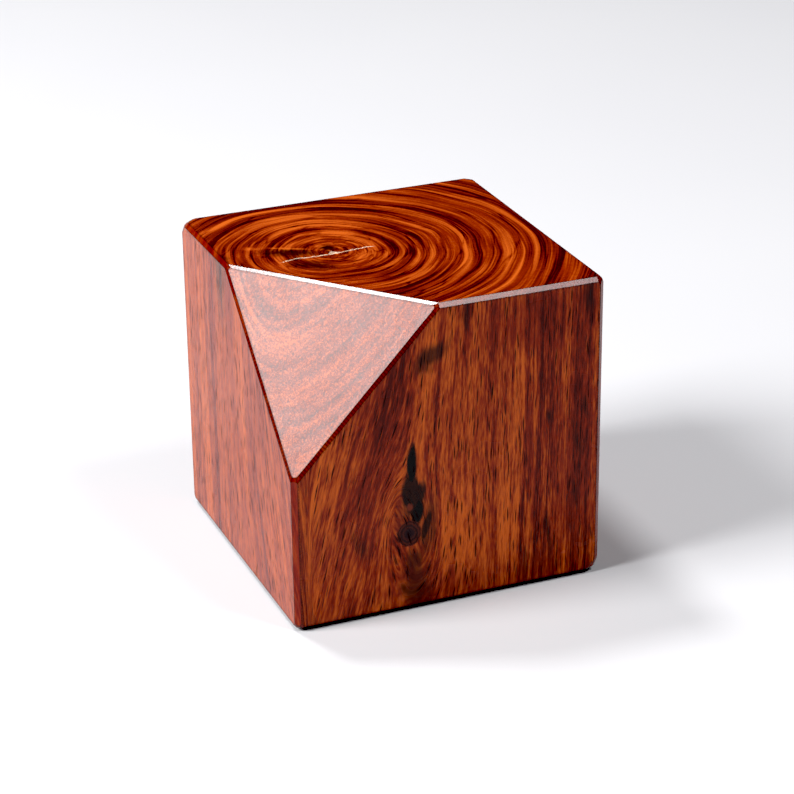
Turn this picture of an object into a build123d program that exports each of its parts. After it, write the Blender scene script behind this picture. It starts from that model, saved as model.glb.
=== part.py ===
from build123d import *
import os

# A cube of dense rosewood, sawn from the heart of a small log, with one corner sawn off on the slant.
# Millimetres, +Z up along the grain. The origin is the middle of the underside. The side with the knot
# faces -Y, and the slanting cut takes off the corner between that side, the -X side and the top.

os.makedirs("parts", exist_ok=True)

# The block before its corner is sawn off
width = 75.0
depth = 73.5
height = 73.5

# The slanting cut, measured from the lost corner along the three edges that met there
cut_across = 35.2
cut_back = 41.3
cut_down = 37.0

# Flat bevels sanded along the edges, each measured along the faces
upright_bevel = 1.2
top_bevel = 0.9
bottom_bevel = 1.3
cut_bevel = 0.55

# Corners knocked back further than their bevels, each measured along the edges
back_left_top_knock = 3.0
back_right_top_knock = 2.5
front_right_bottom_knock = 3.4

# The drying check, a ragged slit in the end grain that runs through the heart, the middle of the rings
heart_x = -12.6
heart_y = 1.2
check_width = 0.5
check_depth = 0.8
check_line = [(-13.2, -0.8), (-8.8, 0.4), (-4.4, -0.1), (0.0, -0.1), (4.8, 0.3), (8.3, 0.9), (10.7, 0.5)]

# The torn notch where the check crosses the heart
tear_width = 2.4
tear_reach = 1.8


def shaving_plane(corner, legs):
    """The plane that cuts a corner off the block, the three legs from it along X, Y and Z, facing outwards."""
    outwards = (1 if corner.X > 0 else -1, 1 if corner.Y > 0 else -1, 1 if corner.Z > 0 else -1)
    on_x = corner - Vector(outwards[0] * legs[0], 0, 0)
    on_y = corner - Vector(0, outwards[1] * legs[1], 0)
    normal = Vector(outwards[0] / legs[0], outwards[1] / legs[1], outwards[2] / legs[2])
    return Plane(origin=on_x, x_dir=on_y - on_x, z_dir=normal)


slanting_cut = shaving_plane(Vector(-width / 2, -depth / 2, height), (cut_across, cut_back, cut_down))
knocks = [
    shaving_plane(Vector(-width / 2, depth / 2, height), [back_left_top_knock] * 3),
    shaving_plane(Vector(width / 2, depth / 2, height), [back_right_top_knock] * 3),
    shaving_plane(Vector(width / 2, -depth / 2, 0), [front_right_bottom_knock] * 3),
]

with BuildPart() as wooden_cube:
    # The squared block, with its edges bevelled
    with BuildSketch(Plane.XY):
        Rectangle(width, depth)
    extrude(amount=height)
    chamfer(wooden_cube.edges().filter_by(Axis.Z), length=upright_bevel)
    chamfer(wooden_cube.faces().sort_by(Axis.Z)[-1].edges(), length=top_bevel)
    chamfer(wooden_cube.faces().sort_by(Axis.Z)[0].edges(), length=bottom_bevel)

    # The corner sawn off, and the new face's edges bevelled
    split(bisect_by=slanting_cut, keep=Keep.BOTTOM)
    chamfer(wooden_cube.faces().filter_by(slanting_cut).edges(), length=cut_bevel)

    # The knocked corners
    for knock in knocks:
        split(bisect_by=knock, keep=Keep.BOTTOM)

    # The check, its two lips half its width to either side of its line and closing at both tips
    with BuildSketch(Plane.XY.offset(height)) as check:
        with Locations((heart_x, heart_y)):
            with BuildLine():
                far_lip = [(x, y + check_width / 2) for x, y in check_line[1:-1]]
                near_lip = [(x, y - check_width / 2) for x, y in check_line[-2:0:-1]]
                Polyline(check_line[0], *far_lip, check_line[-1], *near_lip, close=True)
            make_face()
            with BuildLine():
                Polyline((-tear_width / 2, 0), (tear_width / 2, 0), (0, tear_reach), close=True)
            make_face()
    extrude(amount=-check_depth, mode=Mode.SUBTRACT)

wooden_cube.part.label = "wooden_cube"
export_step(wooden_cube.part, "parts/wooden_cube.step")
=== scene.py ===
"""The looks of the wooden cube: a block of oiled rosewood with one corner sawn off on the slant, its check and its stage."""

import math
import random

import bmesh
import bpy
from bpy.props import FloatProperty, FloatVectorProperty, IntProperty, PointerProperty
from mathutils import Matrix, Vector, geometry


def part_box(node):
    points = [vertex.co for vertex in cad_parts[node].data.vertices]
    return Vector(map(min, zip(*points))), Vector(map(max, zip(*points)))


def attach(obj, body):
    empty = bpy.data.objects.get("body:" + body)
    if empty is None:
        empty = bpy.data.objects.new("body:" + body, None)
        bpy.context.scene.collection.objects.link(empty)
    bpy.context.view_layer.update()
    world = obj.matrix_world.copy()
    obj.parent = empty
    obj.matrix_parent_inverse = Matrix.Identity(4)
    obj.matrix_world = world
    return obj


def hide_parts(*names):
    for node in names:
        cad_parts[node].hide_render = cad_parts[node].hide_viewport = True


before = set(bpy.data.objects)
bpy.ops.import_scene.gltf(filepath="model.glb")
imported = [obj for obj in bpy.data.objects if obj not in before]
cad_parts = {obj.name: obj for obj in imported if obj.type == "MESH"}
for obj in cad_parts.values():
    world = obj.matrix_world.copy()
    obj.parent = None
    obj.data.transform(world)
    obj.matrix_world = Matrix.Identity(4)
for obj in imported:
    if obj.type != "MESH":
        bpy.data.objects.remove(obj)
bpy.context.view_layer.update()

bl_info = {
    "name": "Wooden cube",
    "version": (1, 0, 0),
    "blender": (4, 5, 0),
    "location": "3D View > Sidebar > Wooden cube",
    "description": "Makes the rosewood cube, the check in its end grain and the stage it stands on",
    "category": "Object",
}

MM = 0.001
NODE = "wooden_cube"
LOW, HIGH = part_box(NODE)
TOP = HIGH.z / MM
FRONT = LOW.y / MM


# ---------------------------------------------------------------- what a user would change


class BlockSettings(bpy.types.PropertyGroup):
    arris_softness: FloatProperty(
        name="Arris softness", description="How far each arris is rubbed back, along its faces",
        default=0.14 * MM, min=0.0, unit="LENGTH")
    surface_pitch: FloatProperty(
        name="Surface pitch", description="Distance between the points of the sanded faces",
        default=0.8 * MM, min=0.3 * MM, unit="LENGTH")
    wave_height: FloatProperty(
        name="Wave height", description="How deep the shallow hollows left by hand sanding are",
        default=0.05 * MM, unit="LENGTH")
    wave_size: FloatProperty(
        name="Wave size", description="How far apart the hollows left by hand sanding lie",
        default=16 * MM, unit="LENGTH")
    ring_height: FloatProperty(
        name="Ring height", description="How far the hard late wood of each ring stands proud",
        default=0.012 * MM, unit="LENGTH")
    ring_spacing: FloatProperty(
        name="Ring spacing", description="Distance from one ridge of late wood to the next",
        default=3.4 * MM, unit="LENGTH")
    seed: IntProperty(name="Seed", description="Chooses another set of hollows", default=4)


class CheckSettings(bpy.types.PropertyGroup):
    width: FloatProperty(
        name="Width", description="Width of the check between its lips", default=0.44 * MM, unit="LENGTH")
    depth: FloatProperty(
        name="Depth", description="Depth of the check at its middle", default=0.7 * MM, unit="LENGTH")
    raggedness: FloatProperty(
        name="Raggedness", description="How far its lips stray from a smooth line", default=0.09 * MM,
        unit="LENGTH")
    splinters: IntProperty(
        name="Splinters", description="How many torn fibres lie in the check", default=150, min=0)
    splinter_length: FloatProperty(
        name="Splinter length", description="Length of a torn fibre", default=1.3 * MM, unit="LENGTH")
    splinter_radius: FloatProperty(
        name="Splinter radius", description="Radius of a torn fibre", default=0.085 * MM, unit="LENGTH")
    seed: IntProperty(name="Seed", description="Chooses another set of torn fibres", default=11)


class WoodSettings(bpy.types.PropertyGroup):
    heart: FloatVectorProperty(
        name="Heart", description="Middle of the rings where it meets the top face",
        default=(-12.8 * MM, 2.6 * MM, HIGH.z), subtype="TRANSLATION")
    knot: FloatVectorProperty(
        name="Knot", description="Middle of the knot on the front face",
        default=(-10.2 * MM, LOW.y, 19.4 * MM), subtype="TRANSLATION")
    late_wood: FloatVectorProperty(
        name="Late wood", description="Colour of the darkest rings", default=(0.034, 0.0028, 0.0032),
        size=3, min=0, max=1, subtype="COLOR")
    heart_wood: FloatVectorProperty(
        name="Heartwood", description="Colour of the wood between light and dark",
        default=(0.245, 0.022, 0.0070), size=3, min=0, max=1, subtype="COLOR")
    early_wood: FloatVectorProperty(
        name="Early wood", description="Colour of the lightest rings", default=(0.64, 0.122, 0.018),
        size=3, min=0, max=1, subtype="COLOR")
    torn_wood: FloatVectorProperty(
        name="Torn wood", description="Colour of the dry torn fibres in the check",
        default=(1.0, 0.80, 0.60), size=3, min=0, max=1, subtype="COLOR")


class StageSettings(bpy.types.PropertyGroup):
    floor_size: FloatProperty(
        name="Floor size", description="Side of the floor", default=6.0, unit="LENGTH")
    lens: FloatProperty(
        name="Lens", description="Focal length on a 36 mm sensor", default=118.05, unit="CAMERA")
    azimuth: FloatProperty(
        name="Azimuth", description="Angle of the camera round the cube, from straight in front",
        default=math.radians(-22.044), subtype="ANGLE", unit="ROTATION")
    elevation: FloatProperty(
        name="Elevation", description="Angle of the camera above the horizon",
        default=math.radians(24.154), subtype="ANGLE", unit="ROTATION")
    roll: FloatProperty(
        name="Roll", description="Turn of the camera about its line of sight",
        default=math.radians(-0.668), subtype="ANGLE", unit="ROTATION")
    distance: FloatProperty(
        name="Distance", description="Distance of the camera from the cube's middle",
        default=608.93 * MM, unit="LENGTH")
    aim: FloatVectorProperty(
        name="Aim", description="Sideways and upward move of the camera off the cube's middle",
        default=(2.021 * MM, -1.376 * MM), size=2)


# ---------------------------------------------------------------- nodes


class Tree:
    """Adds nodes to a tree and links them, so that a formula reads in order."""

    def __init__(self, tree):
        self.tree = tree

    def node(self, kind, inputs=None, **settings):
        made = self.tree.nodes.new(kind)
        for name, value in settings.items():
            setattr(made, name, value)
        for name, value in (inputs or {}).items():
            self.feed(made.inputs[name], value)
        return made

    def feed(self, socket, value):
        if isinstance(value, bpy.types.NodeSocket):
            self.tree.links.new(value, socket)
        else:
            socket.default_value = value

    def math(self, operation, *values, clamp=False):
        made = self.tree.nodes.new("ShaderNodeMath")
        made.operation, made.use_clamp = operation, clamp
        for socket, value in zip(made.inputs, values):
            self.feed(socket, value)
        return made.outputs[0]

    def vector(self, operation, *values):
        made = self.tree.nodes.new("ShaderNodeVectorMath")
        made.operation = operation
        for socket, value in zip(made.inputs, values):
            self.feed(socket, value)
        return made.outputs["Value" if operation in ("LENGTH", "DOT_PRODUCT") else "Vector"]

    def split(self, vector):
        return self.node("ShaderNodeSeparateXYZ", {"Vector": vector}).outputs[:3]

    def join(self, x, y, z):
        return self.node("ShaderNodeCombineXYZ", {"X": x, "Y": y, "Z": z}).outputs[0]

    def range(self, value, low, high, to_low=0.0, to_high=1.0, smooth=True):
        """value from low to high becomes to_low to to_high, and stays there past them."""
        kind = "SMOOTHSTEP" if smooth else "LINEAR"
        inputs = {"Value": value, "From Min": low, "From Max": high, "To Min": to_low, "To Max": to_high}
        return self.node("ShaderNodeMapRange", inputs, interpolation_type=kind).outputs[0]

    def noise(self, place, scale=1.0, detail=2.0, roughness=0.5, distortion=0.0, w=None, colour=False):
        inputs = {"Scale": scale, "Detail": detail, "Roughness": roughness, "Distortion": distortion}
        made = self.node("ShaderNodeTexNoise", noise_dimensions="3D" if w is None else "4D")
        inputs["Vector"] = place
        if w is not None:
            inputs["W"] = w
        for name, value in inputs.items():
            self.feed(made.inputs[name], value)
        return made.outputs["Color" if colour else "Fac"]

    def ramp(self, factor, stops, mode="LINEAR"):
        made = self.node("ShaderNodeValToRGB", {"Fac": factor})
        made.color_ramp.interpolation = mode
        elements = made.color_ramp.elements
        while len(elements) < len(stops):
            elements.new(0.5)
        for element, (position, colour) in zip(elements, stops):
            element.position = position
            element.color = (*colour, 1.0) if isinstance(colour, (tuple, list)) else (colour,) * 3 + (1.0,)
        return made.outputs["Color"]

    def mix(self, factor, a, b, blend="MIX"):
        made = self.node("ShaderNodeMix", data_type="RGBA", blend_type=blend)
        for name, value in (("Factor", factor), ("A", a), ("B", b)):
            socket = next(s for s in made.inputs if s.enabled and s.name == name)
            self.feed(socket, value if not isinstance(value, tuple) else (*value[:3], 1.0))
        return next(s for s in made.outputs if s.enabled)

    def group(self, tree, **inputs):
        made = self.node("ShaderNodeGroup", node_tree=tree)
        for name, value in inputs.items():
            self.feed(made.inputs[name.replace("_", " ").capitalize()], value)
        return made.outputs[0]


def new_group(name, inputs, output):
    """A shader node group with one output. inputs maps each name to (socket type, default)."""
    tree = bpy.data.node_groups.new(name, "ShaderNodeTree")
    for label, (kind, default) in inputs.items():
        socket = tree.interface.new_socket(label, in_out="INPUT", socket_type=kind)
        socket.default_value = default
    tree.interface.new_socket(output, in_out="OUTPUT", socket_type="NodeSocketFloat")
    entry = tree.nodes.new("NodeGroupInput")
    result = tree.nodes.new("NodeGroupOutput")
    return Tree(tree), entry.outputs, result.inputs[0]


FLOAT, VECTOR = "NodeSocketFloat", "NodeSocketVector"


def ring_tone_group():
    """How light the wood is, from the distance to the heart: broad bands, then thin wavy lines along the rings."""
    t, given, result = new_group(
        "ring_tone",
        {"Ring": (FLOAT, 20.0), "Round": (VECTOR, (1, 0, 0)), "Along": (FLOAT, 0.0), "Contrast": (FLOAT, 1.0)},
        "Tone")
    ring, around, along = given["Ring"], given["Round"], given["Along"]
    bands = [
        (0.0, 0.34), (1.6, 0.40), (6.0, 0.50), (9.5, 0.46), (12.5, 0.60), (14.6, 0.26), (16.2, 0.54),
        (18.4, 0.42), (20.0, 0.60), (21.6, 0.30), (23.4, 0.56), (25.5, 0.66), (27.5, 0.22), (28.6, 0.40),
        (29.8, 0.26), (31.2, 0.58), (33.2, 0.34), (35.0, 0.14), (36.4, 0.50), (38.4, 0.34), (40.2, 0.66),
        (42.8, 0.36), (44.0, 0.62), (45.6, 0.34), (47.4, 0.58), (49.6, 0.34), (51.6, 0.56), (54.0, 0.32),
        (56.5, 0.50), (60.0, 0.30),
    ]
    reach = 60.0
    stops = [(distance / reach, tone) for distance, tone in bands]
    broad = t.ramp(t.math("DIVIDE", ring, reach), stops)
    turn_x, turn_y, _ = t.split(around)

    def along_rings(fineness, spread, detail, roughness, lengthways):
        place = t.join(t.math("MULTIPLY", ring, fineness), t.math("MULTIPLY", turn_x, spread),
                       t.math("MULTIPLY", turn_y, spread))
        return t.noise(place, 1.0, detail, roughness, w=t.math("MULTIPLY", along, lengthways))

    drift = along_rings(0.26, 1.0, 1.0, 0.5, 0.004)
    lines = along_rings(0.95, 0.9, 1.0, 0.5, 0.005)
    hairs = along_rings(2.6, 2.6, 1.0, 0.5, 0.008)
    crossing = t.math("ABSOLUTE", t.math("SUBTRACT", along_rings(0.5, 1.4, 0.0, 0.5, 0.005), 0.5))
    seams = t.range(crossing, 0.0, 0.04, 1.0, 0.0)
    tone = t.math("ADD", broad, t.math("MULTIPLY", t.math("SUBTRACT", drift, 0.5), 0.7))
    tone = t.math("ADD", tone, t.math("MULTIPLY", t.math("SUBTRACT", lines, 0.5), 1.7))
    tone = t.math("ADD", tone, t.math("MULTIPLY", t.math("SUBTRACT", hairs, 0.5), 1.2))
    tone = t.math("SUBTRACT", tone, t.math("MULTIPLY", seams, 0.26))
    tone = t.math("SUBTRACT", tone, 0.04)
    tone = t.math("ADD", 0.46, t.math("MULTIPLY", t.math("SUBTRACT", tone, 0.46), given["Contrast"]), clamp=True)
    t.feed(result, tone)
    return t.tree


def fibre_group():
    """Fine streaks along the grain, from dark to light."""
    t, given, result = new_group("fibre_streaks", {"Place": (VECTOR, (0, 0, 0)), "Stretch": (FLOAT, 0.05)}, "Streak")
    x, y, z = t.split(given["Place"])
    length = given["Stretch"]
    coarse = t.noise(t.join(x, y, t.math("MULTIPLY", z, t.math("MULTIPLY", length, 0.35))), 0.95, 2.0, 0.55)
    fine = t.noise(t.join(x, y, t.math("MULTIPLY", z, length)), 2.4, 2.0, 0.7)
    both = t.math("ADD", t.math("MULTIPLY", coarse, 0.4), t.math("MULTIPLY", fine, 0.6))
    t.feed(result, t.range(both, 0.33, 0.67, 0.0, 1.0, smooth=False))
    return t.tree


def pore_group():
    """Open pores: short dark dashes along the grain, and dots where they are cut across."""
    t, given, result = new_group(
        "pores",
        {"Place": (VECTOR, (0, 0, 0)), "Spacing": (FLOAT, 0.9), "Length": (FLOAT, 9.0), "Width": (FLOAT, 0.2),
         "Share": (FLOAT, 0.5)},
        "Pore")
    x, y, z = t.split(given["Place"])
    wander = t.noise(t.join(x, y, t.math("MULTIPLY", z, 0.3)), 0.35, 1.0)
    place = t.join(t.math("ADD", x, wander), y, t.math("DIVIDE", z, given["Length"]))
    cells = t.node("ShaderNodeTexVoronoi", {"Vector": place}, feature="F1")
    t.feed(cells.inputs["Scale"], t.math("DIVIDE", 1.0, given["Spacing"]))
    near = t.math("MULTIPLY", cells.outputs["Distance"], given["Spacing"])
    chance, size, _ = t.split(cells.outputs["Color"])
    wide = t.math("MULTIPLY", given["Width"], t.math("ADD", 0.5, size))
    mark = t.math("SUBTRACT", 1.0, t.range(near, t.math("MULTIPLY", wide, 0.4), wide))
    kept = t.math("LESS_THAN", chance, given["Share"])
    t.feed(result, t.math("MULTIPLY", mark, kept))
    return t.tree


def stain_group():
    """A patch of other wood inside the block: an egg shape with a ragged edge along the grain."""
    t, given, result = new_group(
        "stain",
        {"Place": (VECTOR, (0, 0, 0)), "Centre": (VECTOR, (0, 0, 0)), "Turn": (VECTOR, (0, 0, 0)),
         "Reach": (VECTOR, (1, 1, 1)), "Ragged": (FLOAT, 0.5), "Fade": (FLOAT, 0.5)},
        "Stain")
    off = t.vector("SUBTRACT", given["Place"], given["Centre"])
    turned = t.node("ShaderNodeVectorRotate", {"Vector": off, "Rotation": given["Turn"]}, rotation_type="EULER_XYZ")
    near = t.vector("LENGTH", t.vector("DIVIDE", turned.outputs[0], given["Reach"]))
    x, y, z = t.split(given["Place"])
    rough = t.noise(t.join(x, y, t.math("MULTIPLY", z, 0.22)), 0.8, 3.0, 0.6)
    near = t.math("ADD", near, t.math("MULTIPLY", t.math("SUBTRACT", rough, 0.5), given["Ragged"]))
    t.feed(result, t.math("SUBTRACT", 1.0, t.range(near, t.math("SUBTRACT", 1.0, given["Fade"]), 1.0)))
    return t.tree


# Patches of dark wood: middle, turn in degrees, reach, strength. Millimetres, in the cube's frame.
DARK_PATCHES = [
    ((-12.4, 5.0, 73.5), (0, 0, 0), (2.5, 2.7, 30), 1.1),
    ((-21.5, 5.6, 73.5), (0, 0, 24), (9.5, 3.4, 30), 1.0),
    ((-19.5, -3.8, 73.5), (0, 0, 40), (8.5, 3.6, 30), 0.85),
    ((-37.5, 8.5, 73.5), (0, 0, 0), (3.0, 5.0, 20), 0.8),
    ((-4.4, -36.75, 61.8), (0, -62, 0), (3.4, 5.0, 6.6), 1.0),
    ((3.6, -36.75, 70.0), (0, 0, 0), (1.0, 3.0, 5.0), 0.8),
    ((33.4, -36.75, 70.0), (0, 0, 0), (1.5, 3.0, 6.0), 0.8),
    ((24.0, -36.75, 42.2), (0, 6, 0), (1.1, 3.0, 2.4), 0.85),
    ((33.0, -36.75, 43.0), (0, 10, 0), (1.2, 3.0, 4.5), 0.8),
    ((31.2, -36.75, 34.5), (0, 14, 0), (1.8, 3.0, 6.5), 0.6),
    ((24.2, -36.75, 13.0), (0, 7, 0), (0.7, 3.0, 9.0), 0.8),
    ((31.0, -36.75, 21.0), (0, 6, 0), (0.8, 3.0, 5.0), 0.6),
    ((18.5, -36.75, 5.0), (0, 0, 0), (1.2, 3.0, 7.0), 0.6),
    ((-8.5, -36.75, 6.0), (0, 0, 0), (5.0, 5.0, 12.0), 0.85),
    ((-9.0, -36.75, 12.5), (0, 0, 0), (3.6, 5.0, 5.0), 0.9),
    ((-5.6, -36.75, 20.0), (0, -8, 0), (2.8, 5.0, 12.0), 0.75),
    ((-10.0, -36.75, 23.0), (0, 0, 0), (5.2, 5.0, 10.0), 0.5),
    ((-22.0, -36.75, 19.0), (0, 24, 0), (2.2, 5.0, 6.0), 0.5),
    ((-6.5, -36.75, 60.0), (0, -30, 0), (4.0, 5.0, 4.0), 0.7),
]
# Patches of light golden wood, told the same way.
LIGHT_PATCHES = [
    ((1.0, -36.75, 18.0), (0, 3, 0), (6.5, 8.0, 16.0), 0.75),
    ((13.5, -36.75, 14.0), (0, 3, 0), (4.0, 8.0, 14.0), 0.55),
    ((-22.5, -36.75, 10.0), (0, 12, 0), (4.5, 8.0, 10.0), 0.6),
    ((-24.0, -36.75, 30.0), (0, 12, 0), (12.0, 8.0, 26.0), 0.25),
    ((-37.5, 24.0, 36.0), (0, 0, 0), (12.0, 14.0, 60.0), 0.4),
    ((-37.5, -26.0, 20.0), (0, 0, 0), (6.0, 12.0, 40.0), 0.3),
    ((-6.0, 15.0, 73.5), (0, 0, 0), (7.0, 6.5, 14.0), 0.6),
    ((-29.0, 11.5, 73.5), (0, 0, 20), (3.0, 1.6, 10.0), 0.9),
    ((-20.5, 8.0, 73.5), (0, 0, 28), (7.5, 0.8, 10.0), 1.6),
]
# Patches of maroon wood, told the same way.
MAROON_PATCHES = [
    ((24.0, -36.75, 66.0), (0, 0, 0), (22.0, 12.0, 12.0), 0.75),
    ((31.0, -36.75, 30.0), (0, 0, 0), (9.0, 12.0, 40.0), 0.6),
    ((20.0, -36.75, 30.0), (0, 4, 0), (1.6, 8.0, 34.0), 0.75),
    ((10.0, -36.75, 4.0), (0, 0, 0), (30.0, 12.0, 7.0), 0.45),
]
# The bark pocket over the knot, a black flame that runs up the grain.
BARK_PATCHES = [
    ((-9.35, -36.75, 36.0), (0, 0, 0), (1.5, 4.0, 6.4), 1.0),
    ((-9.6, -36.75, 30.0), (0, 0, 0), (2.7, 4.0, 6.2), 0.95),
    ((-8.0, -36.75, 24.2), (0, -14, 0), (1.8, 4.0, 4.6), 1.0),
    ((-8.4, -36.75, 27.5), (0, -12, 0), (2.6, 4.0, 6.0), 0.95),
    ((-6.1, -36.75, 20.5), (0, -16, 0), (1.2, 4.0, 4.2), 0.85),
]


def add_patches(t, stain, place, patches, ragged, fade):
    """The strongest of several stains, as one mask."""
    total = 0.0
    for centre, turn, reach, strength in patches:
        mask = t.group(stain, place=place, centre=centre, turn=[math.radians(a) for a in turn], reach=reach,
                       ragged=ragged, fade=fade)
        total = t.math("MAXIMUM", total, t.math("MULTIPLY", mask, strength))
    return total


def rosewood(settings):
    """Oiled rosewood: one solid grain that every side of the cube cuts through."""
    material = bpy.data.materials.new("rosewood")
    material.use_nodes = True
    t = Tree(material.node_tree)
    shader = material.node_tree.nodes["Principled BSDF"]
    ring_tone, fibres, pores, stain = ring_tone_group(), fibre_group(), pore_group(), stain_group()
    heart = Vector(settings.heart) / MM
    knot = Vector(settings.knot) / MM

    coordinates = t.node("ShaderNodeTexCoord").outputs["Object"]
    place = t.vector("MULTIPLY", coordinates, (1 / MM,) * 3)
    x, y, z = t.split(place)

    # Going down the log, the grain spreads towards the front and the left
    below = t.math("SUBTRACT", z, TOP)
    lean_x = t.math("MULTIPLY", t.range(x, -37.5, -33.0), t.range(x, -30.0, 12.0, 0.24, 0.03))
    lean_y = t.math("MULTIPLY", t.range(y, FRONT, 14.0, 0.24, 0.0), t.range(x, -37.5, -34.0, 1.0, 0.0))
    x1 = t.math("SUBTRACT", x, t.math("MULTIPLY", below, lean_x))
    y1 = t.math("SUBTRACT", y, t.math("MULTIPLY", below, lean_y))

    # The grain parts round the knot and closes again above and below it
    knot_reach = 4.2
    aside = t.math("SUBTRACT", x, knot.x)
    above = t.math("DIVIDE", t.math("SUBTRACT", z, knot.z), 2.5)
    apart = t.math("ADD", t.math("MULTIPLY", aside, aside), t.math("MULTIPLY", above, above))
    push = t.math("DIVIDE", knot_reach ** 2, t.math("MAXIMUM", apart, knot_reach ** 2))
    push = t.math("MULTIPLY", push, t.range(y, FRONT, FRONT + 16, 1.0, 0.0))
    x2 = t.math("SUBTRACT", x1, t.math("MULTIPLY", aside, push))

    # A slow wobble in the rings
    wobble = t.noise(t.join(x2, y1, t.math("MULTIPLY", z, 0.2)), 0.045, 1.0, 0.4, colour=True)
    wobble = t.vector("SCALE", t.vector("SUBTRACT", wobble, (0.5, 0.5, 0.5)))
    wobble.node.inputs["Scale"].default_value = 4.2
    wx, wy, _ = t.split(wobble)
    x3, y3 = t.math("ADD", x2, wx), t.math("ADD", y1, wy)

    out = t.join(t.math("SUBTRACT", x3, heart.x), t.math("SUBTRACT", y3, heart.y), 0.0)
    ring = t.vector("LENGTH", out)
    around = t.vector("NORMALIZE", out)
    level = t.split(t.node("ShaderNodeNewGeometry").outputs["Normal"])[2]
    end_grain = t.math("ABSOLUTE", level)
    clear = t.ramp(end_grain, [(0.0, 0.74), (0.35, 0.60), (0.587, 0.62), (0.75, 0.90), (1.0, 1.0)])
    on_cut = t.ramp(end_grain, [(0.0, 0.0), (0.45, 0.0), (0.587, 1.0), (0.70, 0.0), (1.0, 0.0)])
    plain_side = t.range(x, -37.45, -37.2, 0.55, 1.0)
    clear = t.math("MULTIPLY", clear, plain_side)
    tone = t.group(ring_tone, ring=ring, round=around, along=z, contrast=clear)

    grain_place = t.join(x3, y3, z)
    streak = t.group(fibres, place=grain_place, stretch=0.1)
    strength = t.range(end_grain, 0.0, 1.0, 0.85, 0.16, smooth=False)
    strength = t.math("MULTIPLY", strength, plain_side)
    tone = t.math("ADD", tone, t.math("MULTIPLY", t.math("SUBTRACT", streak, 0.5), strength), clamp=True)

    speckle = t.noise(place, 2.6, 1.0, 0.5, 1.2)
    cut_tone = t.math("ADD", 0.08, t.math("MULTIPLY", t.math("SUBTRACT", speckle, 0.5), 2.2))
    tone = t.math("ADD", tone, t.math("MULTIPLY", on_cut, cut_tone), clamp=True)
    side = t.range(end_grain, 0.1, 0.4, 0.085, 0.0)
    tone = t.math("ADD", tone, side, clamp=True)
    light = add_patches(t, stain, place, LIGHT_PATCHES, 0.9, 0.8)
    tone = t.math("ADD", tone, t.math("MULTIPLY", light, 0.34), clamp=True)
    maroon = add_patches(t, stain, place, MAROON_PATCHES, 0.8, 0.8)
    tone = t.math("MULTIPLY", tone, t.range(maroon, 0.0, 1.0, 1.0, 0.5, smooth=False))
    wood = t.ramp(tone, [(0.0, tuple(settings.late_wood)), (0.42, tuple(settings.heart_wood)),
                         (0.95, tuple(settings.early_wood))])
    wood = t.mix(t.math("MULTIPLY", on_cut, 0.33), wood, (0.33, 0.15, 0.13))
    dark = add_patches(t, stain, place, DARK_PATCHES, 0.9, 0.75)
    wood = t.mix(t.math("MULTIPLY", dark, 0.85), wood, (0.012, 0.004, 0.004))
    bark = add_patches(t, stain, place, BARK_PATCHES, 0.7, 0.4)
    wood = t.mix(bark, wood, (0.004, 0.003, 0.003))

    # The knot: thin rings round a dark middle
    knot_off = t.join(t.math("DIVIDE", aside, 1.0), 0.0, t.math("DIVIDE", t.math("SUBTRACT", z, knot.z), 1.08))
    knot_radius = t.vector("LENGTH", knot_off)
    knot_radius = t.math("ADD", knot_radius, t.math("MULTIPLY", t.math("SUBTRACT", t.noise(place, 0.7, 2.0), 0.5), 0.9))
    knot_tone = t.ramp(t.math("DIVIDE", knot_radius, 4.0), [
        (0.0, (0.008, 0.004, 0.006)), (0.24, (0.020, 0.007, 0.009)), (0.36, (0.060, 0.014, 0.010)),
        (0.46, (0.016, 0.005, 0.006)), (0.58, (0.085, 0.016, 0.009)), (0.68, (0.020, 0.004, 0.004)),
        (0.76, (0.150, 0.022, 0.010)), (0.84, (0.030, 0.005, 0.004))])
    at_knot = t.math("MULTIPLY", t.range(knot_radius, 2.6, 3.3, 1.0, 0.0), t.range(y, FRONT + 8, FRONT + 14, 1.0, 0.0))
    wood = t.mix(at_knot, wood, knot_tone)
    red_spot = t.group(stain, place=place, centre=(-9.9, -36.75, 26.0), turn=(0, 0, 0), reach=(0.9, 3, 1.3),
                       ragged=0.5, fade=0.5)
    wood = t.mix(red_spot, wood, (0.16, 0.028, 0.014))

    pore = t.group(pores, place=grain_place, spacing=0.42, length=15.0, width=0.14, share=0.95)
    pore = t.math("MULTIPLY", pore, t.range(end_grain, 0.15, 0.5, 1.0, 0.12))
    wood = t.mix(t.math("MULTIPLY", pore, 0.95), wood, (0.008, 0.002, 0.002))

    # Painted shade: the narrow faces are mixed towards a deep dark red; their lower roughness further down is a real
    # burnish.
    bevel = t.node("ShaderNodeAttribute", attribute_name="bevel").outputs["Fac"]
    wood = t.mix(t.math("MULTIPLY", bevel, 0.6), wood, (0.17, 0.006, 0.003))
    # Painted shade: the wood turns nearly black over the lowest 1.6 mm, for the shadow under the foot of the block.
    foot_shade = t.range(z, 0.9, 1.6, 0.92, 0.0)
    wood = t.mix(foot_shade, wood, (0.004, 0.002, 0.002))
    # Painted shade: the rounded arrises are darkened nearly to black, as dark lines along the edges.
    arris = t.node("ShaderNodeAttribute", attribute_name="arris").outputs["Fac"]
    wood = t.mix(t.math("MULTIPLY", arris, 0.75), wood, (0.008, 0.002, 0.002))
    torn = t.node("ShaderNodeAttribute", attribute_name="torn").outputs["Fac"]
    wood = t.mix(torn, wood, tuple(settings.torn_wood))
    t.feed(shader.inputs["Base Color"], wood)

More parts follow.
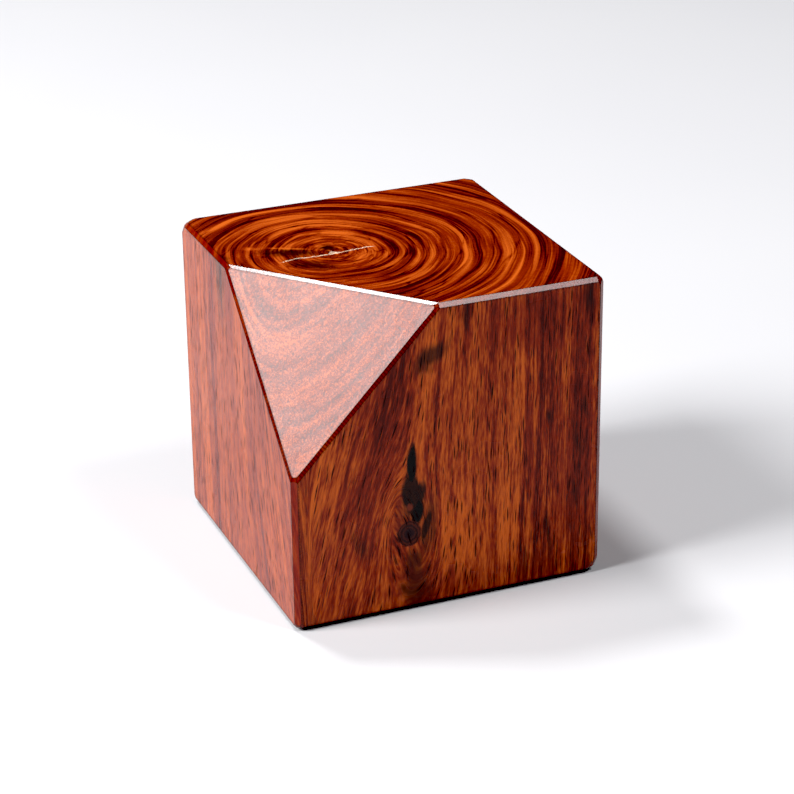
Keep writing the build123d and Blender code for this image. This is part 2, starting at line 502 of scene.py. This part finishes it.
    rough = t.math("ADD", 0.21, t.math("MULTIPLY", t.noise(place, 0.09, 2.0), 0.10))
    rough = t.math("SUBTRACT", rough, t.math("MULTIPLY", bevel, 0.12))
    rough = t.math("ADD", rough, t.math("MULTIPLY", pore, 0.25))
    t.feed(shader.inputs["Roughness"], t.math("ADD", rough, t.math("MULTIPLY", torn, 0.4)))
    height = t.math("SUBTRACT", t.math("MULTIPLY", streak, 0.35), t.math("MULTIPLY", pore, 0.8))
    height = t.math("ADD", height, t.math("MULTIPLY", t.math("MULTIPLY", on_cut, speckle), 1.2))
    bump = t.node("ShaderNodeBump", {"Height": height, "Strength": 0.5, "Distance": 0.04 * MM})
    t.feed(shader.inputs["Normal"], bump.outputs["Normal"])
    shader.inputs["IOR"].default_value = 1.33
    return material


def torn_wood(settings):
    """Dry torn fibres, pale and dull, streaked along their length."""
    material = bpy.data.materials.new("torn_wood")
    material.use_nodes = True
    t = Tree(material.node_tree)
    shader = material.node_tree.nodes["Principled BSDF"]
    place = t.vector("MULTIPLY", t.node("ShaderNodeTexCoord").outputs["Object"], (1 / MM,) * 3)
    speck = t.noise(place, 2.2, 3.0, 0.6)
    pale = tuple(settings.torn_wood)
    deep = (pale[0] * 0.62, pale[1] * 0.42, pale[2] * 0.32)
    t.feed(shader.inputs["Base Color"], t.ramp(speck, [(0.32, deep), (0.55, pale)]))
    t.feed(shader.inputs["Roughness"], t.range(speck, 0.3, 0.7, 0.7, 0.85))
    return material


# ---------------------------------------------------------------- the block


def cad_hull():
    """The CAD block as plain flat faces, without the check."""
    hull = bmesh.new()
    hull.from_mesh(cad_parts[NODE].data)
    bmesh.ops.remove_doubles(hull, verts=hull.verts, dist=0.001 * MM)
    made = bmesh.ops.convex_hull(hull, input=hull.verts)
    spare = {item for item in made["geom_interior"] + made["geom_unused"] if isinstance(item, bmesh.types.BMVert)}
    bmesh.ops.delete(hull, geom=list(spare), context="VERTS")
    kept = {face for face in made["geom"] if isinstance(face, bmesh.types.BMFace) and face.is_valid}
    old = [face for face in hull.faces if face not in kept]
    bmesh.ops.delete(hull, geom=old, context="FACES_ONLY")
    loose = [edge for edge in hull.edges if not edge.link_faces]
    bmesh.ops.delete(hull, geom=loose, context="EDGES")
    bmesh.ops.dissolve_limit(hull, angle_limit=math.radians(0.5), verts=hull.verts, edges=hull.edges)
    bmesh.ops.recalc_face_normals(hull, faces=hull.faces)
    return hull


def shave(hull, point, normal):
    """Takes off what lies outside a plane and closes the cut."""
    everything = hull.verts[:] + hull.edges[:] + hull.faces[:]
    made = bmesh.ops.bisect_plane(hull, geom=everything, dist=0.0005 * MM, plane_co=point, plane_no=normal,
                                  clear_outer=True)
    rim = [item for item in made["geom_cut"] if isinstance(item, bmesh.types.BMEdge)]
    if rim:
        bmesh.ops.edgeloop_fill(hull, edges=rim)


def round_corners(hull):
    """Rubs each square corner to part of a ball as deep as the CAD block's corner is cut back."""
    points = [v.co.copy() for v in hull.verts]
    for sign in [(i, j, k) for i in (-1, 1) for j in (-1, 1) for k in (-1, 1)]:
        corner = Vector(high if s > 0 else low for s, low, high in zip(sign, LOW, HIGH))
        outwards = Vector(sign).normalized()
        depth = corner.dot(outwards) - max(p.dot(outwards) for p in points)
        if depth > 4 * MM:
            continue  # the corner that is sawn off
        radius = depth / (math.sqrt(3) - 1)
        middle = corner - Vector(sign) * radius
        for a, b, c in [(3, 3, 1), (3, 1, 3), (1, 3, 3), (3, 1, 1), (1, 3, 1), (1, 1, 3), (1, 1, 1),
                        (2, 2, 1), (2, 1, 2), (1, 2, 2), (2, 1, 1), (1, 2, 1), (1, 1, 2)]:
            normal = Vector((a * sign[0], b * sign[1], c * sign[2])).normalized()
            shave(hull, middle + normal * radius, normal)


def soften_arrises(hull, softness):
    """Rounds the sharp edges, and returns the rounded faces."""
    sharp = [edge for edge in hull.edges if edge.calc_face_angle(0) > math.radians(24)]
    made = bmesh.ops.bevel(hull, geom=sharp, offset=softness, offset_type="OFFSET", segments=3, profile=0.5,
                           affect="EDGES", clamp_overlap=True)
    return set(made["faces"])


# The line of the check, from its left tip to its right one, measured from the heart of the check: along, across
CHECK_HEART = Vector((-12.6, 1.2)) * MM
CHECK_LINE = [(-13.2, -0.8), (-8.8, 0.4), (-4.4, -0.1), (0.0, -0.1), (4.8, 0.3), (8.3, 0.9), (10.7, 0.5)]
TEAR_HALF_WIDTH = 1.2
TEAR_REACH = 1.8


def check_stations(settings):
    """Points along the check: its middle, its far lip and its near lip, on the top face, and its depth there."""
    rng = random.Random(settings.seed)
    stations = []
    step = 0.3
    for (x0, y0), (x1, y1) in zip(CHECK_LINE, CHECK_LINE[1:]):
        count = max(1, round((x1 - x0) / step))
        for i in range(count):
            stations.append((x0 + (x1 - x0) * i / count, y0 + (y1 - y0) * i / count))
    stations = stations[1:]
    made = []
    for x, y in stations:
        from_tip = min(x - CHECK_LINE[0][0], CHECK_LINE[-1][0] - x)
        fullness = min(1.0, 0.3 + from_tip / 3.0) * (1.0 + 0.6 * math.exp(-(x / 2.5) ** 2))
        half = settings.width / MM / 2 * fullness
        tear = max(0.0, 1 - abs(x - 0.1) / TEAR_HALF_WIDTH) * TEAR_REACH
        ragged = settings.raggedness / MM
        far = y + half + tear + rng.uniform(-ragged, ragged)
        near = y - half + rng.uniform(-ragged, ragged)
        depth = settings.depth * min(1.0, 0.25 + from_tip / 4.0) * rng.uniform(0.7, 1.1)
        at = lambda value: CHECK_HEART + Vector((x, value)) * MM
        made.append((at((far + near) / 2), at(far), at(near), depth))
    return made


def inside(point, outline):
    """Whether a flat point lies inside a closed outline."""
    found = False
    for a, b in zip(outline, outline[1:] + outline[:1]):
        if (a.y > point.y) != (b.y > point.y):
            if point.x < a.x + (point.y - a.y) / (b.y - a.y) * (b.x - a.x):
                found = not found
    return found


class Skin:
    """Collects the points and triangles of the block's surface, with each point's flat normal and marks."""

    def __init__(self):
        self.points, self.normals, self.marks, self.faces, self.index = [], [], [], [], {}

    def point(self, co, key=None):
        key = key or tuple(round(c / (0.001 * MM)) for c in co)
        if key not in self.index:
            self.index[key] = len(self.points)
            self.points.append(Vector(co))
            self.normals.append([])
            self.marks.append({"arris": 0.0, "bevel": 0.0, "torn": 0.0, "relief": 0.0})
        return self.index[key]


def edge_run(skin, a, b, pitch):
    """Evenly spaced points from a to b, alike whichever face asks."""
    first, last = sorted((a, b), key=lambda co: tuple(co))
    count = max(1, round((b - a).length / pitch))
    run = [skin.point(first.lerp(last, i / count)) for i in range(count + 1)]
    return run if first == a else run[::-1]


def clear_of(point, loop, gap):
    """Whether a flat point keeps a gap from every side of a closed loop."""
    for a, b in zip(loop, loop[1:] + loop[:1]):
        side = b - a
        along = max(0.0, min(1.0, (point - a).dot(side) / max(side.length_squared, 1e-18)))
        if (point - a - side * along).length < gap:
            return False
    return True


def skin_face(skin, face, pitch, is_soft, outline):
    """Covers one flat face of the hull with triangles."""
    corners = [loop.vert.co for loop in face.loops]
    ring = []
    for a, b in zip(corners, corners[1:] + corners[:1]):
        ring += edge_run(skin, a, b, pitch)[:-1]
    normal = face.normal.copy()
    wide = face.calc_area() > 150 * MM ** 2
    x_axis = (corners[1] - corners[0]).normalized()
    y_axis = normal.cross(x_axis)
    origin = corners[0]
    flat = lambda co: Vector(((co - origin).dot(x_axis), (co - origin).dot(y_axis)))
    solid = lambda p: origin + x_axis * p.x + y_axis * p.y
    ids = list(ring)
    coordinates = [flat(skin.points[i]) for i in ring]
    edges, hole = [], []
    sides = [flat(co) for co in corners]
    if wide or not is_soft:
        for inset, spacing in ((0.15 * MM, pitch), (0.5 * MM, pitch)) if wide else ((0.15 * MM, pitch),):
            for a, b in zip(sides, sides[1:] + sides[:1]):
                side = b - a
                inwards = Vector((-side.y, side.x)).normalized()
                count = max(1, round(side.length / spacing))
                for i in range(count):
                    p = a + side * (i + 0.5) / count + inwards * inset
                    if clear_of(p, sides, inset * 0.98):
                        coordinates.append(p)
                        ids.append(skin.point(solid(p)))
    if wide:
        if outline and normal.z > 0.99:
            hole = [flat(Vector((p.x, p.y, HIGH.z))) for p in outline]
            start = len(coordinates)
            for p in hole:
                coordinates.append(p)
                ids.append(skin.point(solid(p)))
            edges = [(start + i, start + (i + 1) % len(hole)) for i in range(len(hole))]
        low = Vector((min(p.x for p in sides), min(p.y for p in sides)))
        high = Vector((max(p.x for p in sides), max(p.y for p in sides)))
        row_height = pitch * math.sqrt(3) / 2
        for row in range(int((high.y - low.y) / row_height) + 1):
            for column in range(int((high.x - low.x) / pitch) + 1):
                p = low + Vector(((column + 0.5 * (row % 2)) * pitch, row * row_height))
                if not inside(p, sides) or not clear_of(p, sides, 0.95 * MM):
                    continue
                if hole and (inside(p, hole) or not clear_of(p, hole, 0.3 * MM)):
                    continue
                coordinates.append(p)
                ids.append(skin.point(solid(p)))
    made = geometry.delaunay_2d_cdt(coordinates, edges, [list(range(len(ring)))], 1, 1e-9)
    spots, triangles, origins = made[0], made[2], made[3]
    for triangle in triangles:
        if hole:
            middle = sum((spots[i] for i in triangle), Vector((0, 0))) / 3
            if inside(middle, hole):
                continue
        corner_ids = [ids[origins[i][0]] if origins[i] else skin.point(solid(spots[i])) for i in triangle]
        if len(set(corner_ids)) == 3:
            skin.faces.append(corner_ids)
    for i in set(ids):
        skin.normals[i].append((normal, is_soft, wide))


def add_check(skin, stations):
    """The sloping walls of the check, from its lips down to its bottom line."""
    down = lambda p, depth: skin.point(Vector((p.x, p.y, HIGH.z - depth)))
    floor = [down(middle, depth) for middle, far, near, depth in stations]
    far = [down(p, 0.0) for _, p, _, _ in stations]
    near = [down(p, 0.0) for _, _, p, _ in stations]
    tips = [CHECK_HEART + Vector(CHECK_LINE[0]) * MM, CHECK_HEART + Vector(CHECK_LINE[-1]) * MM]
    left, right = (down(tip, 0.0) for tip in tips)
    walls = [(left, near[0], floor[0]), (left, floor[0], far[0])]
    for i in range(len(stations) - 1):
        walls.append((near[i], near[i + 1], floor[i + 1]))
        walls.append((near[i], floor[i + 1], floor[i]))
        walls.append((floor[i], floor[i + 1], far[i + 1]))
        walls.append((floor[i], far[i + 1], far[i]))
    walls += [(near[-1], right, floor[-1]), (floor[-1], right, far[-1])]
    skin.faces += [list(wall) for wall in walls]
    for i in floor:
        skin.normals[i].append((Vector((0, 0, 1)), True, False))
        skin.marks[i]["torn"] = 1.0
    for i in far + near:
        skin.marks[i]["torn"] = 0.0


def mark_edges(skin, hull_faces):
    """Marks the points of the rounded arrises and of the narrow faces, where painted shade darkens the wood and the
    narrow faces take a burnished shine, and the points inside the wide faces, which the sanding relief moves.
    """
    for i, given in enumerate(skin.normals):
        wide = [n for n, soft, is_wide in given if is_wide]
        soft = [n for n, is_soft, is_wide in given if is_soft]
        skin.marks[i]["relief"] = 1.0 if wide and len(given) == 1 else 0.0
        skin.marks[i]["arris"] = 1.0 if soft and not skin.marks[i]["torn"] else 0.0
        skin.marks[i]["bevel"] = 0.0 if wide or skin.marks[i]["torn"] else 1.0


def relief_tree(material):
    """Hollows from hand sanding and low ridges of late wood, pressed into the block's faces."""
    tree = bpy.data.node_groups.new("sanded_relief", "GeometryNodeTree")
    sockets = {}
    face = tree.interface
    face.new_socket("Geometry", in_out="INPUT", socket_type="NodeSocketGeometry")
    for name, kind in (("Wave height", FLOAT), ("Wave size", FLOAT), ("Ring height", FLOAT),
                       ("Ring spacing", FLOAT), ("Heart", VECTOR), ("Seed", "NodeSocketInt")):
        sockets[name] = face.new_socket(name, in_out="INPUT", socket_type=kind).identifier
    face.new_socket("Geometry", in_out="OUTPUT", socket_type="NodeSocketGeometry")
    t = Tree(tree)
    given = tree.nodes.new("NodeGroupInput").outputs
    place = t.node("GeometryNodeInputPosition").outputs[0]
    seed = t.math("MULTIPLY", given["Seed"], 7.31)
    size = t.math("DIVIDE", 1.0, given["Wave size"])
    wave = t.noise(place, size, 1.0, 0.4, w=seed)
    off = t.vector("MULTIPLY", t.vector("SUBTRACT", place, given["Heart"]), (1, 1, 0))
    ring = t.math("DIVIDE", t.vector("LENGTH", off), given["Ring spacing"])
    ring = t.math("ADD", ring, t.math("MULTIPLY", wave, 3.0))
    ridge = t.math("MULTIPLY", t.math("ADD", t.math("SINE", t.math("MULTIPLY", ring, math.tau)), 1.0), 0.5)
    depth = t.math("ADD", t.math("MULTIPLY", wave, given["Wave height"]),
                   t.math("MULTIPLY", t.math("SUBTRACT", 1.0, ridge), given["Ring height"]))
    fade = t.node("GeometryNodeInputNamedAttribute", {"Name": "relief"}, data_type="FLOAT").outputs[0]
    normal = t.node("GeometryNodeInputNamedAttribute", {"Name": "flat_normal"}, data_type="FLOAT_VECTOR").outputs[0]
    inwards = t.vector("SCALE", normal)
    t.feed(inwards.node.inputs["Scale"], t.math("MULTIPLY", t.math("MULTIPLY", depth, fade), -1.0))
    moved = t.node("GeometryNodeSetPosition", {"Geometry": given["Geometry"], "Offset": inwards})
    real = t.node("GeometryNodeRealizeInstances", {"Geometry": moved.outputs[0]})
    painted = t.node("GeometryNodeSetMaterial", {"Geometry": real.outputs[0], "Material": material})
    tree.links.new(painted.outputs[0], tree.nodes.new("NodeGroupOutput").inputs[0])
    return tree, sockets


def run_tree(piece, tree, sockets, values):
    """Runs a Geometry Nodes tree on a piece and keeps the result as its plain mesh."""
    modifier = piece.modifiers.new(tree.name, "NODES")
    modifier.node_group = tree
    for name, value in values.items():
        modifier[sockets[name]] = value
    graph = bpy.context.evaluated_depsgraph_get()
    mesh = bpy.data.meshes.new_from_object(piece.evaluated_get(graph), depsgraph=graph)
    piece.modifiers.remove(modifier)
    piece.data = mesh
    return mesh


class WOODENCUBE_OT_block(bpy.types.Operator):
    """Makes the block over the CAD node, with its soft arrises, its sanding and its open check"""

    bl_idname = "woodencube.block"
    bl_label = "Make the block"

    def execute(self, context):
        block, check, wood = (getattr(context.scene.wooden_cube, name) for name in ("block", "check", "wood"))
        hull = cad_hull()
        round_corners(hull)
        soft = soften_arrises(hull, block.arris_softness)
        stations = check_stations(check)
        tips = [CHECK_HEART + Vector(CHECK_LINE[0]) * MM, CHECK_HEART + Vector(CHECK_LINE[-1]) * MM]
        outline = [tips[0]] + [near for _, _, near, _ in stations] + [tips[1]]
        outline += [far for _, far, _, _ in reversed(stations)]
        skin = Skin()
        for face in hull.faces:
            is_soft = face in soft
            skin_face(skin, face, block.surface_pitch, is_soft, outline)
        add_check(skin, stations)
        mark_edges(skin, hull.faces)
        hull.free()

        mesh = bpy.data.meshes.new("cube_block")
        mesh.from_pydata([tuple(p) for p in skin.points], [], skin.faces)
        normals = []
        for given in skin.normals:
            firm = [n for n, is_soft, wide in given if not is_soft] or [n for n, is_soft, wide in given]
            normals.append(sum(firm, Vector()).normalized() if firm else Vector((0, 0, 1)))
        for name in ("arris", "bevel", "torn", "relief"):
            layer = mesh.attributes.new(name, "FLOAT", "POINT")
            layer.data.foreach_set("value", [marks[name] for marks in skin.marks])
        layer = mesh.attributes.new("flat_normal", "FLOAT_VECTOR", "POINT")
        layer.data.foreach_set("vector", [c for n in normals for c in n])
        piece = bpy.data.objects.new("cube_block", mesh)
        context.scene.collection.objects.link(piece)
        before = [v.normal.copy() for v in mesh.vertices]
        tree, sockets = relief_tree(rosewood(wood))
        mesh = run_tree(piece, tree, sockets, {
            "Wave height": block.wave_height, "Wave size": block.wave_size, "Ring height": block.ring_height,
            "Ring spacing": block.ring_spacing, "Heart": tuple(wood.heart), "Seed": block.seed})
        mesh.shade_smooth()
        tilted = [n + v.normal - b for n, v, b in zip(normals, mesh.vertices, before)]
        mesh.normals_split_custom_set_from_vertices([n.normalized() for n in tilted])
        for name in ("relief", "flat_normal"):
            mesh.attributes.remove(mesh.attributes[name])
        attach(piece, "root")
        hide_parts(NODE)
        return {"FINISHED"}


# ---------------------------------------------------------------- torn fibres in the check


def splinter_tree(material):
    """Short torn fibres, laid along a line at random slants and then made real."""
    tree = bpy.data.node_groups.new("torn_fibres", "GeometryNodeTree")
    face = tree.interface
    face.new_socket("Geometry", in_out="INPUT", socket_type="NodeSocketGeometry")
    sockets = {}
    for name, kind in (("Count", "NodeSocketInt"), ("Length", FLOAT), ("Radius", FLOAT), ("Spread", FLOAT),
                       ("Seed", "NodeSocketInt")):
        sockets[name] = face.new_socket(name, in_out="INPUT", socket_type=kind).identifier
    face.new_socket("Geometry", in_out="OUTPUT", socket_type="NodeSocketGeometry")
    t = Tree(tree)
    given = tree.nodes.new("NodeGroupInput").outputs
    line = t.node("GeometryNodeMeshToCurve", {"Mesh": given["Geometry"]})
    spaced = t.node("GeometryNodeResampleCurve", {"Curve": line.outputs[0], "Count": given["Count"]}, mode="COUNT")
    dots = t.node("GeometryNodeCurveToPoints", {"Curve": spaced.outputs[0]}, mode="EVALUATED")
    cone = t.node("GeometryNodeMeshCone", {
        "Vertices": 5, "Side Segments": 2, "Radius Top": 0.15, "Radius Bottom": 1.0, "Depth": 2.0})
    def chance(low, high, offset):
        made = t.node("FunctionNodeRandomValue", data_type="FLOAT_VECTOR")
        for name, value in (("Min", low), ("Max", high), ("Seed", t.math("ADD", given["Seed"], offset))):
            socket = next(s for s in made.inputs if s.enabled and s.name == name)
            t.feed(socket, value)
        return next(s for s in made.outputs if s.enabled)
    tip = t.node("FunctionNodeAlignEulerToVector", {"Vector": dots.outputs["Tangent"]}, axis="Z")
    slant = chance((-0.5, -0.5, 0.0), (0.5, 0.5, 6.28), 1.0)
    turned = t.node("FunctionNodeRotateEuler", {"Rotation": tip.outputs[0], "Rotate By": slant}, space="LOCAL")
    size = t.vector("MULTIPLY", chance((0.5, 0.5, 0.35), (1.3, 1.3, 1.0), 2.0),
                    t.join(given["Radius"], given["Radius"], t.math("MULTIPLY", given["Length"], 0.5)))
    shift = t.vector("SCALE", chance((-1.0, -1.0, -0.5), (1.0, 1.0, 0.1), 3.0))
    t.feed(shift.node.inputs["Scale"], given["Spread"])
    placed = t.node("GeometryNodeSetPosition", {"Geometry": dots.outputs[0], "Offset": shift})
    laid = t.node("GeometryNodeInstanceOnPoints", {
        "Points": placed.outputs[0], "Instance": cone.outputs["Mesh"], "Rotation": turned.outputs[0], "Scale": size})
    real = t.node("GeometryNodeRealizeInstances", {"Geometry": laid.outputs[0]})
    painted = t.node("GeometryNodeSetMaterial", {"Geometry": real.outputs[0], "Material": material})
    tree.links.new(painted.outputs[0], tree.nodes.new("NodeGroupOutput").inputs[0])
    return tree, sockets


class WOODENCUBE_OT_splinters(bpy.types.Operator):
    """Lays the pale torn fibres along the check"""

    bl_idname = "woodencube.splinters"
    bl_label = "Lay the torn fibres"

    def execute(self, context):
        check, wood = context.scene.wooden_cube.check, context.scene.wooden_cube.wood
        stations = check_stations(check)[2:-2]
        sunk = 0.1 * check.depth
        points = [(middle.x, middle.y, HIGH.z - sunk) for middle, _, _, _ in stations]
        mesh = bpy.data.meshes.new("check_line")
        mesh.from_pydata(points, [(i, i + 1) for i in range(len(points) - 1)], [])
        piece = bpy.data.objects.new("check_fibres", mesh)
        context.scene.collection.objects.link(piece)
        tree, sockets = splinter_tree(torn_wood(wood))
        mesh = run_tree(piece, tree, sockets, {
            "Count": check.splinters, "Length": check.splinter_length, "Radius": check.splinter_radius,
            "Spread": check.width * 0.3, "Seed": check.seed})
        for vertex in mesh.vertices:
            vertex.co.z = min(vertex.co.z, HIGH.z + 0.02 * MM)
        if not mesh.polygons:
            raise RuntimeError("no torn fibres were made")
        mesh.shade_smooth()
        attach(piece, "root")
        return {"FINISHED"}


# ---------------------------------------------------------------- the stage


def floor_material():
    """Smooth pale card, very slightly uneven in tone."""
    material = bpy.data.materials.new("pale_card")
    material.use_nodes = True
    t = Tree(material.node_tree)
    shader = material.node_tree.nodes["Principled BSDF"]
    place = t.node("ShaderNodeTexCoord").outputs["Object"]
    tone = t.noise(place, 6.0, 2.0)
    t.feed(shader.inputs["Base Color"], t.ramp(tone, [(0.2, (0.745, 0.745, 0.77)), (0.8, (0.77, 0.77, 0.79))]))
    shader.inputs["Roughness"].default_value = 0.9
    shader.inputs["Specular IOR Level"].default_value = 0.1
    return material


def area_light(context, name, towards, distance, size, strength, colour=(1, 1, 1)):
    """A square soft light, that far from the cube's middle, of that radiance."""
    data = bpy.data.lights.new(name, "AREA")
    data.shape, data.size, data.color = "DISK", size, colour
    data.energy = strength * math.pi * (math.pi * size ** 2 / 4)
    light = bpy.data.objects.new(name, data)
    direction = Vector(towards).normalized()
    light.location = Vector((0, 0, HIGH.z / 2)) + direction * distance
    light.rotation_euler = direction.to_track_quat("Z", "Y").to_euler()
    context.scene.collection.objects.link(light)
    return light


class WOODENCUBE_OT_stage(bpy.types.Operator):
    """Sets the pale floor, the soft lights and the camera"""

    bl_idname = "woodencube.stage"
    bl_label = "Set the stage"

    def execute(self, context):
        stage = context.scene.wooden_cube.stage
        bm = bmesh.new()
        bmesh.ops.create_grid(bm, x_segments=8, y_segments=8, size=stage.floor_size / 2)
        mesh = bpy.data.meshes.new("floor")
        bm.to_mesh(mesh)
        bm.free()
        mesh.materials.append(floor_material())
        floor = bpy.data.objects.new("floor", mesh)
        context.scene.collection.objects.link(floor)

        area_light(context, "key_light", (-0.745, 0.0, 0.665), 1.35, 0.60, 23.5)
        area_light(context, "top_light", (-0.16, 0.41, 0.90), 1.35, 0.24, 60.0)
        area_light(context, "fill_light", (0.34, -0.41, 0.85), 1.35, 0.38, 16.0)

        world = bpy.data.worlds.new("studio")
        world.use_nodes = True
        context.scene.world = world
        t = Tree(world.node_tree)
        seen = world.node_tree.nodes["Background"]
        seen.inputs["Color"].default_value = (0.90, 0.90, 0.94, 1)
        dim = t.node("ShaderNodeBackground", {"Color": (0.9, 0.9, 1.0, 1), "Strength": 0.05})
        choose = t.node("ShaderNodeMixShader", {0: t.node("ShaderNodeLightPath").outputs["Is Camera Ray"]})
        t.feed(choose.inputs[1], dim.outputs[0])
        t.feed(choose.inputs[2], seen.outputs[0])
        t.feed(world.node_tree.nodes["World Output"].inputs["Surface"], choose.outputs[0])
        context.scene.view_settings.view_transform = "Standard"
        context.scene.view_settings.use_curve_mapping = True
        context.scene.view_settings.curve_mapping.black_level = (0.018, 0.018, 0.018)
        context.scene.view_settings.curve_mapping.update()

        az, el, roll = stage.azimuth, stage.elevation, stage.roll
        back = Vector((math.sin(az) * math.cos(el), -math.cos(az) * math.cos(el), math.sin(el)))
        right = Vector((math.cos(az), math.sin(az), 0))
        up = back.cross(right)
        turned_right = right * math.cos(roll) + up * math.sin(roll)
        turned_up = up * math.cos(roll) - right * math.sin(roll)
        data = bpy.data.cameras.new("camera")
        data.lens, data.sensor_width = stage.lens, 36.0
        camera = bpy.data.objects.new("camera", data)
        middle = Vector((0, 0, 37.5 * MM))
        place = middle + back * stage.distance + turned_right * stage.aim[0] + turned_up * stage.aim[1]
        camera.matrix_world = Matrix.Translation(place) @ Matrix(
            (turned_right, turned_up, back)).transposed().to_4x4()
        context.scene.collection.objects.link(camera)
        context.scene.camera = camera
        return {"FINISHED"}


# ---------------------------------------------------------------- registration


class CubeSettings(bpy.types.PropertyGroup):
    block: PointerProperty(type=BlockSettings)
    check: PointerProperty(type=CheckSettings)
    wood: PointerProperty(type=WoodSettings)
    stage: PointerProperty(type=StageSettings)


class WOODENCUBE_PT_panel(bpy.types.Panel):
    bl_idname = "WOODENCUBE_PT_panel"
    bl_label = "Wooden cube"
    bl_space_type = "VIEW_3D"
    bl_region_type = "UI"
    bl_category = "Wooden cube"

    def draw(self, context):
        settings = context.scene.wooden_cube
        for group, operator in (("block", "woodencube.block"), ("check", "woodencube.splinters"),
                                ("wood", None), ("stage", "woodencube.stage")):
            part = self.layout.box()
            values = getattr(settings, group)
            for name in values.bl_rna.properties.keys():
                if name not in ("rna_type", "name"):
                    part.prop(values, name)
            if operator:
                part.operator(operator)


CLASSES = (
    BlockSettings, CheckSettings, WoodSettings, StageSettings, CubeSettings,
    WOODENCUBE_OT_block, WOODENCUBE_OT_splinters, WOODENCUBE_OT_stage, WOODENCUBE_PT_panel,
)


def register():
    for item in CLASSES:
        bpy.utils.register_class(item)
    bpy.types.Scene.wooden_cube = PointerProperty(type=CubeSettings)


def unregister():
    del bpy.types.Scene.wooden_cube
    for item in reversed(CLASSES):
        bpy.utils.unregister_class(item)


def main():
    register()
    bpy.ops.woodencube.stage()
    bpy.ops.woodencube.block()
    bpy.ops.woodencube.splinters()


if __name__ == "__main__":
    main()
